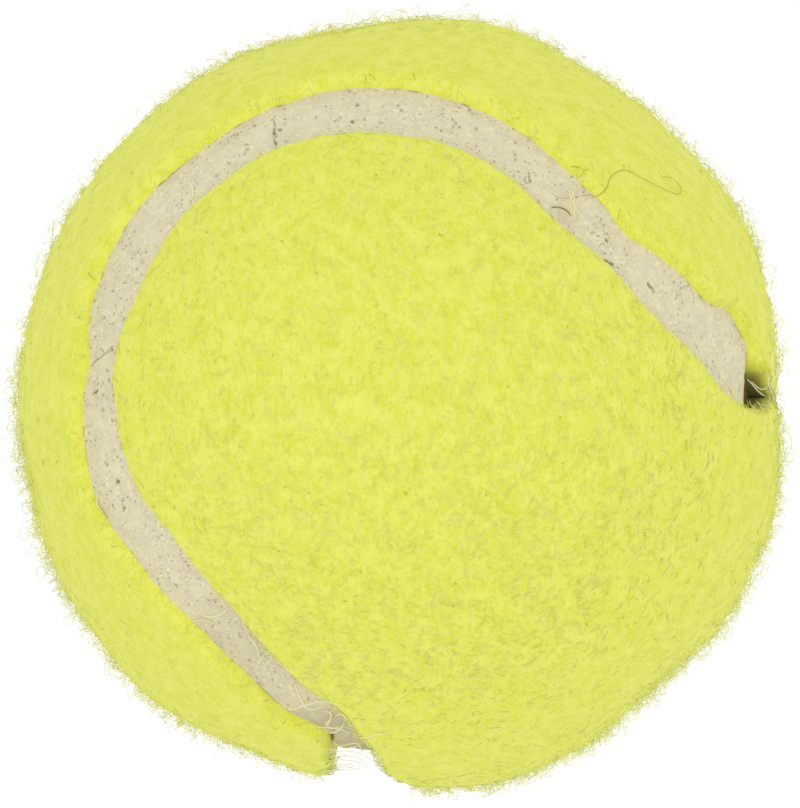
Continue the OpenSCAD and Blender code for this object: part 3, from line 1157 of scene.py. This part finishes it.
class TENNIS_BALL_OT_make_seam(bpy.types.Operator):
    """Make the recessed strip of pitted, creased seam rubber"""
    bl_idname = "tennis_ball.make_seam"
    bl_label = "Make the seam"

    def execute(self, context):
        seam = context.scene.tennis_ball_seam
        rows, across = ((2500, 30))
        turn = np.linspace(0, 4, rows, endpoint=False)[:, None]
        x = np.linspace(-1, 1, across)[None, :]
        near, far = edge_distance(turn, 0), edge_distance(turn, 1)
        edge = np.where(x < 0, near, far)
        x_mm = x * (edge + STRIP_TUCK)
        edge_r = COATED_R + seam.height / MM
        angle = LOBE_ANGLE + x_mm / BALL_R
        direction = swung(angle, *seam_axes(turn + 0 * x))
        place = direction * edge_r
        radius = edge_r - seam.dip / MM * (1 - x ** 2) + layered_noise(place, STRIP_RIPPLES)
        wrinkle = 1 - smooth_step(np.abs(soft_noise(place, 2.0, 34)) / 0.08)
        radius = radius - STRIP_WRINKLE * wrinkle
        pit, depth = self.pits(turn * SEAM_LENGTH / 4, x_mm, place)
        crease = self.creases(turn, x_mm)
        radius = radius - depth - crease
        # Darker in patches along the strip's edges, where it meets the felt
        edge_dirt = smooth_step(1 - (edge - np.abs(x_mm)) / 0.25)
        edge_dirt = edge_dirt * np.clip(0.9 * soft_noise(place, 0.7, 35), 0, 1)
        # The strip's darkening: in its pits and creases by their depth and in patches along its
        # edges; the painted shade over its hollows is added below
        dark = np.maximum(np.maximum(pit, smooth_step(crease / 0.22)), edge_dirt)
        # Painted shade: each hollow also darkens the strip towards the pit colour
        for at, reach, sunk, painted_shade in SEAM_HOLLOWS:
            bump = steep_bump(turn, at, reach)
            radius = radius - sunk * bump
            dark = np.maximum(dark, painted_shade * bump)
        loop = self.closed_section(turn, angle, direction, radius)
        columns = loop.shape[1]
        mesh = mesh_from("seam_rubber_strip", loop.reshape(-1, 3),
                         grid_faces(rows, columns, wrap_rows=True, wrap_columns=True))
        shade = np.zeros((rows, columns))
        shade[:, :across] = dark
        give_points(mesh, "pit_depth", "FLOAT", "value", shade)
        close_up(mesh)
        colour = np.array(seam.colour)
        finish = rubber_finish(
            "seam_rubber_beige", rgba(colour * [0.90, 0.86, 0.86]),
            rgba(np.minimum(colour * [1.07, 1.09, 1.06], 1)),
            rgba(seam.pit_colour), patch=1.5, pore_cell=0.40, roughness=0.78,
            fleck_colour=rgba(seam.fleck_colour))
        piece = object_from(mesh, finish)
        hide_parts("seam_strip")
        return {"FINISHED"}

    @staticmethod
    def closed_section(turn, angle, direction, radius):
        """The strip's section at each turn, as a closed loop of points: over its top, and
        back by two points down one side, four along the core and two up the other side."""
        low_r = COATED_R + STRIP_CLEARANCE
        steps = np.array([0.5, 0.0])
        walls = []
        for end in (-1, 0):
            drop = low_r + steps * (radius[:, end, None] - low_r)
            walls.append(direction[:, end, None] * drop[..., None])
        under = np.linspace(0, 1, 6)[1:-1]
        below = angle[:, -1:] + (angle[:, :1] - angle[:, -1:]) * under
        below = low_r * swung(below, *seam_axes(turn + 0 * under))
        top = direction * radius[..., None]
        return np.concatenate([top, walls[0], below, walls[1][:, ::-1]], 1)

    @staticmethod
    def pits(along, x_mm, place):
        """How dark and how deep the surface is in the large pits: round ones of random
        size, in a share of the squares that wanders with a broad noise."""
        spacing = bpy.context.scene.tennis_ball_seam.pit_spacing / MM
        gap, number = nearest_spot(along, x_mm, spacing, SEAM_LENGTH, 51)
        crowd = 0.31 + 0.3 * soft_noise(place, 7.0, 36)
        least, more = PIT_RADIUS
        radius = least + more * number
        into = np.where(number < crowd, smooth_step(1.3 - gap / radius), 0)
        return into * 0.6, into * radius * 1.2

    @staticmethod
    def creases(turn, x_mm):
        """Depth below the surface in the named creases: it falls off smoothly with the
        distance to the line from one end of a crease to the other."""
        scale = SEAM_LENGTH / 4
        total = 0.0
        for (turn_a, a), (turn_b, b), half, depth in SEAM_CREASES:
            away = turns_from(turn, turn_a) * scale
            run, wide = (turn_b - turn_a) * scale, b - a
            way = np.clip((away * run + (x_mm - a) * wide) / (run ** 2 + wide ** 2), 0, 1)
            gap = np.hypot(away - way * run, x_mm - a - way * wide)
            total = np.maximum(total, depth * (1 - smooth_step(gap / (2 * half))))
        return total


class TENNIS_BALL_OT_brush_nap(bpy.types.Operator):
    """Lay the short matted fibres of the nap over both felt panels, fewer of them round
    the outline that the camera sees"""
    bl_idname = "tennis_ball.brush_nap"
    bl_label = "Brush the nap"

    def execute(self, context):
        nap = context.scene.tennis_ball_nap
        draw = np.random.default_rng(7)
        density = nap.density * 1.0
        count = int(density * 4 * np.pi * BALL_R ** 2 * 1.25)
        root = unit(draw.normal(size=(count, 3)))
        keep = draw.random(count)
        _, inside, panel = felt_surface(root)
        share = np.array(NAP_SHARE)[panel] + NAP_COARSE_SHARE * coarseness(root)
        share = np.where(inside < NAP_EDGE_WIDTH, np.array(NAP_EDGE_SHARE)[panel], share)
        share = share * (0.15 + 0.85 * facing_share(root))
        chosen = (inside > 0.03) & (keep < share)
        root, inside, panel = root[chosen], inside[chosen], panel[chosen]
        count = len(root)
        speck_share, speck_size = NAP_SPECKS
        streak_share, streak_size = NAP_STREAKS
        speck = draw.random(count) < speck_share
        streak = draw.random(count) < streak_share
        size = np.where(speck, speck_size, np.where(streak, streak_size, 1.0))
        paths = self.paths(draw, root, inside, size)
        thick = nap.thickness / MM * draw.uniform(0.6, 1.25, count)
        shade = 0.56 + layered_noise(root * BALL_R, NAP_SHADES) + draw.normal(0, 0.19, count)
        shade = np.where(streak, np.maximum(shade, 0.92), np.maximum(shade, 0.06))
        shade = np.where(speck, 0, shade)
        colour = fibre_colours()
        palest = tuple(0.85 * np.array(colour["light"]) + 0.15 * np.array(colour["pale"]))
        stops = [(0.0, colour["speck"]), (0.03, colour["deep"]), (0.45, colour["main"]),
                 (0.8, colour["light"]), (1.0, palest)]
        finish = fibre_finish("nap_fibres", stops, colour["deep"], root_reach=0.3, sheen=0.2)
        own = np.where(panel[:, None] == 0, root, to_other_panel(root))
        third = (np.arctan2(own[:, 2], own[:, 0]) / np.pi + 0.5) * 3
        part = np.where(own[:, 0] < 0, np.where(own[:, 2] > 0, 0, 1),
                        2 + np.clip(third, 0, 2.99).astype(int))
        for which, title in enumerate(("first", "second")):
            for number, where in enumerate(NAP_PARTS):
                mine = (panel == which) & (part == number)
                mesh = make_fibres(f"nap_{title}_{where}", paths[mine], thick[mine],
                                   shade[mine], roundness=NAP_ROUNDNESS)
                object_from(mesh, finish)
        return {"FINISHED"}

    def paths(self, draw, root, inside, size):
        """Four points along each fibre. It starts a little down in the felt, runs along
        the surface in the brushed direction with a bend and a wave across it, and rises
        smoothly, to come back down or to end in a free tip."""
        nap = bpy.context.scene.tennis_ball_nap
        count = len(root)
        up = camera_axes()[1]
        place = root * BALL_R
        brushed = unit(up - (root @ up)[:, None] * root + 1e-4)
        aside = np.cross(root, brushed)
        coarse = coarseness(root)
        scatter = draw.normal(0, 1, count) * (0.22 + 1.2 * coarse)
        angle = layered_noise(place, NAP_SWIRLS) + scatter
        angle = angle + np.pi * (draw.random(count) < 0.4)
        heading = np.cos(angle)[:, None] * brushed + np.sin(angle)[:, None] * aside
        beside = along_seam(root)
        beside = beside * np.where((beside * heading).sum(-1) < 0, -1, 1)[:, None]
        near = 0.8 * smooth_step(1 - inside / 1.7)[:, None]
        heading = unit(heading * (1 - near) + beside * near)
        length = nap.length / MM * draw.uniform(0.55, 1.5, count) * size
        _, tip_inside, _ = felt_surface(unit(place + heading * length[:, None]))
        heading = np.where((tip_inside < 0.0)[:, None], -heading, heading)
        _, tip_inside, _ = felt_surface(unit(place + heading * length[:, None]))
        length = np.where(tip_inside < 0.0, 0.5 * length, length)
        way = np.linspace(0, 1, 4)[None, :]
        bend = draw.normal(0, 0.16, count) * (0.5 + coarse) * length
        wave = draw.uniform(0.02, 0.16, count) * (0.4 + 1.5 * coarse) * length
        phase = draw.uniform(0, 2 * np.pi, count)[:, None]
        sideways = bend[:, None] * way ** 2 + wave[:, None] * (
            np.sin(2 * np.pi * way * 1.1 + phase) - np.sin(phase))
        towards = beside_roots(root, heading, length[:, None] * way, sideways)
        surface, _, _ = felt_surface(towards)
        lift = draw.gamma(2.0, 0.026, count) * (0.8 + 0.5 * coarse) - 0.018
        lift = lift * (0.2 + 0.8 * facing_share(root))
        free = draw.random(count) < 0.35
        rise = np.where(free[:, None], way ** 1.3, np.sin(np.pi * way) ** 0.7)
        return towards * (surface - ROOT_DEPTH + (ROOT_DEPTH + lift[:, None]) * rise)[..., None]


class TENNIS_BALL_OT_raise_fuzz(bpy.types.Operator):
    """Raise the short crinkled hairs and the long pale curls that stand off the felt"""
    bl_idname = "tennis_ball.raise_fuzz"
    bl_label = "Raise the fuzz"

    def execute(self, context):
        nap = context.scene.tennis_ball_nap
        draw = np.random.default_rng(19)
        area = 4 * np.pi * BALL_R ** 2 * 1.0
        colour = fibre_colours()
        stops = [(0.0, colour["speck"]), (0.03, colour["main"]), (0.35, colour["light"]),
                 (1.0, colour["pale"])]
        finish = fibre_finish("loose_fuzz", stops, colour["main"], root_reach=0.35, sheen=0.3)
        for name, density, tallest, thickness in (
                ("short_fuzz", nap.fuzz_density, nap.fuzz_height, nap.fuzz_thickness),
                ("long_curls", nap.curl_density, nap.curl_height, nap.curl_thickness)):
            kind = LOOSE_FIBRES[name]
            root = unit(draw.normal(size=(int(density * area), 3)))
            share = fuzziness(root)
            _, inside, _ = felt_surface(root)
            chosen = (inside > kind["clear"]) & (draw.random(len(root)) < share)
            root, share = root[chosen], share[chosen]
            count = len(root)
            high = kind["low"] + draw.gamma(*kind["spread"], count) * share ** kind["crowding"]
            high = np.minimum(high, tallest / MM)
            length = draw.uniform(*kind["lengths"], count)
            loop = draw.uniform(*kind["loops"], count) * length ** kind["growth"]
            paths = self.curled(draw, root, length, high, loop, kind["stops"])
            self.pieces(name, draw, paths, root, high, thickness / MM, finish)
        return {"FINISHED"}

    @staticmethod
    def curled(draw, root, length, high, loop, stops):
        """Paths that run four fifths of a length over the felt from their roots while they
        go round a loop across it, by half a turn to nearly two, and rise by the sine of the
        way along, to end in the air or back on the felt."""
        count = len(root)
        level = unit(np.cross(root, unit(draw.normal(size=(count, 3)))))
        way = np.linspace(0, 1, stops)[None, :]
        back_down = draw.uniform(0.5, 1.0, count)[:, None]
        turns = draw.uniform(0.5, 1.7, count)[:, None]
        phase = draw.uniform(0, 2 * np.pi, count)[:, None]
        swing = 2 * np.pi * turns * way + phase
        run = 0.8 * (length[:, None] * way + loop[:, None] * (np.cos(swing) - np.cos(phase)))
        sideways = loop[:, None] * (np.sin(swing) - np.sin(phase))
        towards = beside_roots(root, level, run, sideways)
        surface, _, _ = felt_surface(towards)
        rise = high[:, None] * np.sin(np.pi * way * back_down)
        return towards * (surface - ROOT_DEPTH + rise)[..., None]

    @staticmethod
    def pieces(name, draw, paths, root, high, thickness, finish):
        """Four objects of the fibres, by the side of the ball that their roots are on. The
        taller ones are paler, painted light that shines through them, and less so on the side
        that faces the camera, where the felt's yellow is painted as showing through instead."""
        thick = thickness * draw.uniform(0.6, 1.3, len(root))
        # Painted light: taller fibres are paler for the light through them, and stay yellower on
        # the side that faces the camera, where the felt lies behind them
        yellow = 1 - 0.6 * smooth_step((root @ camera_axes()[2] - 0.1) / 0.3)
        shade = (0.15 + 0.75 * high) * yellow + draw.normal(0, 0.15, len(root))
        shade = np.clip(shade, 0.05, 1)
        shade = np.where(draw.random(len(root)) < 0.006, 0, shade)
        for number, title in enumerate(("low_left", "low_right", "high_left", "high_right")):
            mine = (2 * (root[:, 2] > 0) + (root[:, 0] > 0)) == number
            mesh = make_fibres(f"{name}_{title}", paths[mine], thick[mine], shade[mine],
                               bulge=0.35)
            object_from(mesh, finish)


class TENNIS_BALL_OT_fringe_edges(bpy.types.Operator):
    """Let short fibres stand out over the strip from the cut edges of both panels"""
    bl_idname = "tennis_ball.fringe_edges"
    bl_label = "Fringe the edges"

    def execute(self, context):
        density = context.scene.tennis_ball_nap.fringe_density
        draw = np.random.default_rng(31)
        colour = fibre_colours()
        stops = [(0.0, colour["speck"]), (0.04, colour["speck"]), (0.07, colour["main"]),
                 (0.6, colour["light"]), (1.0, colour["pale"])]
        finish = fibre_finish("edge_fringe", stops, colour["main"], root_reach=0.3, sheen=0.2)
        for panel, title in enumerate(("first", "second")):
            turn = draw.uniform(0, 4, int(density * SEAM_LENGTH))
            for at, reach, *more in SHAGGY_EDGES:
                turn = np.concatenate([turn, draw.normal(at, reach, more[panel]) % 4])
            mesh = make_fibres(f"edge_fringe_{title}", self.paths(draw, turn, panel),
                               draw.uniform(*FRINGE_THICKNESS, len(turn)),
                               draw.random(len(turn)))
            object_from(mesh, finish)
        return {"FINISHED"}

    @staticmethod
    def paths(draw, turn, panel):
        """Five points along each fibre, from inside the panel's edge to a little past it.
        The fibre swings along the edge by a part of a sine, bulges up and sags by the
        square of the way, and stays clear of the surface below."""
        count = len(turn)
        way = np.linspace(0, 1, 5)[None, :]
        start, reach = draw.uniform(*FRINGE_START, (2, count, 1))
        phase = draw.uniform(0, 2 * np.pi, (count, 1))
        slide = draw.normal(0, 0.45, (count, 1)) * way + draw.uniform(0, 0.2, (count, 1)) * (
            np.sin(2 * np.pi * way + phase) - np.sin(phase))
        here = (turn[:, None] + slide * 4 / SEAM_LENGTH) % 4
        across = edge_distance(here, panel) + start - (reach + FRINGE_PAST) * way
        angle = LOBE_ANGLE + (across if panel else -across) / BALL_R
        towards = swung(angle, *seam_axes(here))
        surface, _, _ = felt_surface(towards)
        seam_r = COATED_R + bpy.context.scene.tennis_ball_seam.height / MM
        first = surface[:, :1]
        sag = draw.uniform(0.1, 0.9, (count, 1)) * (first - seam_r)
        bulge = draw.gamma(2.0, 0.04, (count, 1)) * np.sin(np.pi * way)
        radius = np.maximum(first - 0.04 + bulge - sag * way ** 2, surface - 0.02)
        return towards * radius[..., None]


class TENNIS_BALL_OT_lay_strands(bpy.types.Operator):
    """Lay the cream strands over the seam, the loops and strands at the rim and two stray hairs"""
    bl_idname = "tennis_ball.lay_strands"
    bl_label = "Lay the strands"

    def execute(self, context):
        draw = np.random.default_rng(23)
        strands = np.stack([self.sit(follow(stops, 14), lift=0.2) for stops in SEAM_STRANDS])
        self.piece("seam_strands", strands, 0.13, CREAM_THREAD, draw)
        loops = []
        for (x, y), wide, tall in RIM_LOOPS:
            swing = np.linspace(-0.3, 2 * np.pi * 0.98, 14) + draw.uniform(0, 6.28)
            picture = np.stack([x + wide * np.cos(swing), y + tall * np.sin(swing)], -1)
            loops.append(on_ball(picture, lift=0.4) + draw.normal(0, 0.02, (14, 3)))
        self.piece("rim_loops", np.stack(loops), 0.08, WHITE_THREAD, draw)
        over = np.stack([on_ball(follow(stops, 14), lift=0.25) for stops in RIM_STRANDS])
        self.piece("rim_strands", over, 0.075, WHITE_THREAD, draw)
        hair = self.sit(follow(LONG_HAIR, 70), lift=0.16)[None]
        self.piece("lint_hair_long", hair, 0.055, BROWN_THREAD, draw)
        short = self.sit(follow(SHORT_HAIR, 16), lift=0.12)[None]
        self.piece("lint_hair_short", short, 0.12, DARK_THREAD, draw)
        return {"FINISHED"}

    @staticmethod
    def sit(picture_points, lift):
        """Points of the picture, laid that much above the felt or the seam below them. The
        place is found anew from the height that the last one gives, until it stays."""
        height = 0.0
        for _ in range(3):
            towards = unit(on_ball(picture_points, height))
            surface, _, _ = felt_surface(towards)
            smooth = np.convolve(np.pad(surface, 2, "edge"), np.full(5, 0.2), "valid")
            height = np.maximum(surface, smooth) + lift - BALL_R
        return towards * (BALL_R + height)[:, None]

    @staticmethod
    def piece(name, paths, thick, colours, draw):
        """One object of threads of one thickness that share a finish, between a dark and a
        light colour."""
        stops = list(zip((0.0, 1.0), colours))
        finish = fibre_finish(name + "_finish", stops, colours[0], root_reach=0.2, sheen=0.1)
        count = len(paths)
        mesh = make_fibres(name, paths, np.full(count, thick), draw.random(count),
                           sides=6, bulge=0.2)
        object_from(mesh, finish)


class TENNIS_BALL_OT_make_felt(bpy.types.Operator):
    """Make the two matted felt panels below the nap"""
    bl_idname = "tennis_ball.make_felt"
    bl_label = "Make the felt"

    def execute(self, context):
        finish = felt_finish()
        for which, title in enumerate(("first", "second")):
            mesh = self.panel(f"felt_panel_{title}_matted", which)
            panel = object_from(mesh, finish)
            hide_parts(f"felt_panel_{title}")
            nap = [o for o in context.scene.objects if o.name.startswith(f"nap_{title}_")]
            if len(nap) != len(NAP_PARTS):
                raise RuntimeError("brush the nap before the felt panels are declared")
        return {"FINISHED"}

    @staticmethod
    def panel(name, which):
        """A closed shell: at each turn a section runs from the spine over the top, round
        the shoulder, down the edge and back under the felt to the spine. Each point is
        its radius times cos(angle) spine + sin(angle) side; the second panel is the first
        one's shape after half a turn about y = z, with its own lumps and edges."""
        felt = bpy.context.scene.tennis_ball_felt
        rows = 760
        tops, rounds, walls, unders = ((54, 8, 4, 10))
        turn = np.linspace(0, 4, rows, endpoint=False)[:, None]
        spine, side = seam_axes(turn[:, 0])
        own_turn = turn[:, 0] if which == 0 else opposite_turn(turn[:, 0])
        edge = LOBE_ANGLE - edge_distance(own_turn, which)[:, None] / BALL_R
        shoulder = felt.shoulder_radius / MM
        full = edge - shoulder / BALL_R
        inner = BACKING_R + FELT_CLEARANCE
        lean = np.radians(np.linspace(90, 0, rounds + 1))[None, 1:]
        down = np.linspace(0, 1, walls + 1)[None, 1:]
        angle = np.concatenate([
            full * np.linspace(0, 1, tops), full + shoulder / BALL_R * np.cos(lean),
            edge + 0 * down, edge * np.linspace(1, 0, unders + 1)[None, 1:]], 1)
        towards = swung(angle, spine[:, None], side[:, None])
        if which == 1:
            towards = to_other_panel(towards)
        radius = felt_top(towards)
        radius[:, tops:tops + rounds] -= shoulder * (1 - np.sin(lean))
        wall = slice(tops + rounds, -unders)
        radius[:, wall] = (radius[:, wall] - shoulder) * (1 - down) + inner * down
        radius[:, -unders:] = inner
        places = towards * radius[..., None]
        places[..., 2] = np.maximum(places[..., 2], FLOOR_Z)
        mesh = mesh_from(name, places.reshape(-1, 3),
                         grid_faces(rows, places.shape[1], wrap_rows=True))
        low = np.concatenate([np.zeros(tops), (np.arange(rounds) / rounds) ** 2,
                              np.ones(walls), np.zeros(unders)])
        # Painted shade on the shoulder and wall beside each hollow of the seam: it grows down the
        # shoulder, as the square of the hollow's darkness
        gap_shade = np.zeros((rows, 1))
        for at, reach, _, painted_shade in SEAM_HOLLOWS:
            bump = steep_bump(own_turn[:, None], at, 0.85 * reach)
            gap_shade = np.maximum(gap_shade, painted_shade ** 2 * bump)
        give_points(mesh, "edge_dirt", "FLOAT", "value", gap_shade * low)
        close_up(mesh)
        return mesh


STEPS = (
    TENNIS_BALL_OT_light_stage,
    TENNIS_BALL_OT_finish_core,
    TENNIS_BALL_OT_make_seam,
    TENNIS_BALL_OT_brush_nap,
    TENNIS_BALL_OT_raise_fuzz,
    TENNIS_BALL_OT_fringe_edges,
    TENNIS_BALL_OT_lay_strands,
    TENNIS_BALL_OT_make_felt,
)


class TENNIS_BALL_PT_sidebar(bpy.types.Panel):
    """Lists the steps that dress the ball, and the sizes and colours that they read"""
    bl_idname = "TENNIS_BALL_PT_sidebar"
    bl_label = "Tennis ball"
    bl_space_type = "VIEW_3D"
    bl_region_type = "UI"
    bl_category = "Tennis ball"

    def draw(self, context):
        for settings in (context.scene.tennis_ball_felt, context.scene.tennis_ball_nap,
                         context.scene.tennis_ball_seam):
            box = self.layout.box()
            for name in settings.__annotations__:
                box.prop(settings, name)
        for step in STEPS:
            self.layout.operator(step.bl_idname)


SETTINGS = {
    "tennis_ball_felt": TennisBallFelt,
    "tennis_ball_nap": TennisBallNap,
    "tennis_ball_seam": TennisBallSeam,
}


def register():
    for name, group in SETTINGS.items():
        bpy.utils.register_class(group)
        setattr(bpy.types.Scene, name, bpy.props.PointerProperty(type=group))
    for step in (*STEPS, TENNIS_BALL_PT_sidebar):
        bpy.utils.register_class(step)


def unregister():
    for step in reversed((*STEPS, TENNIS_BALL_PT_sidebar)):
        bpy.utils.unregister_class(step)
    for name, group in reversed(list(SETTINGS.items())):
        delattr(bpy.types.Scene, name)
        bpy.utils.unregister_class(group)


def main():
    """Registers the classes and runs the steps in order."""
    register()
    for step in STEPS:
        category, name = step.bl_idname.split(".")
        getattr(getattr(bpy.ops, category), name)()


if __name__ == "__main__":
    main()
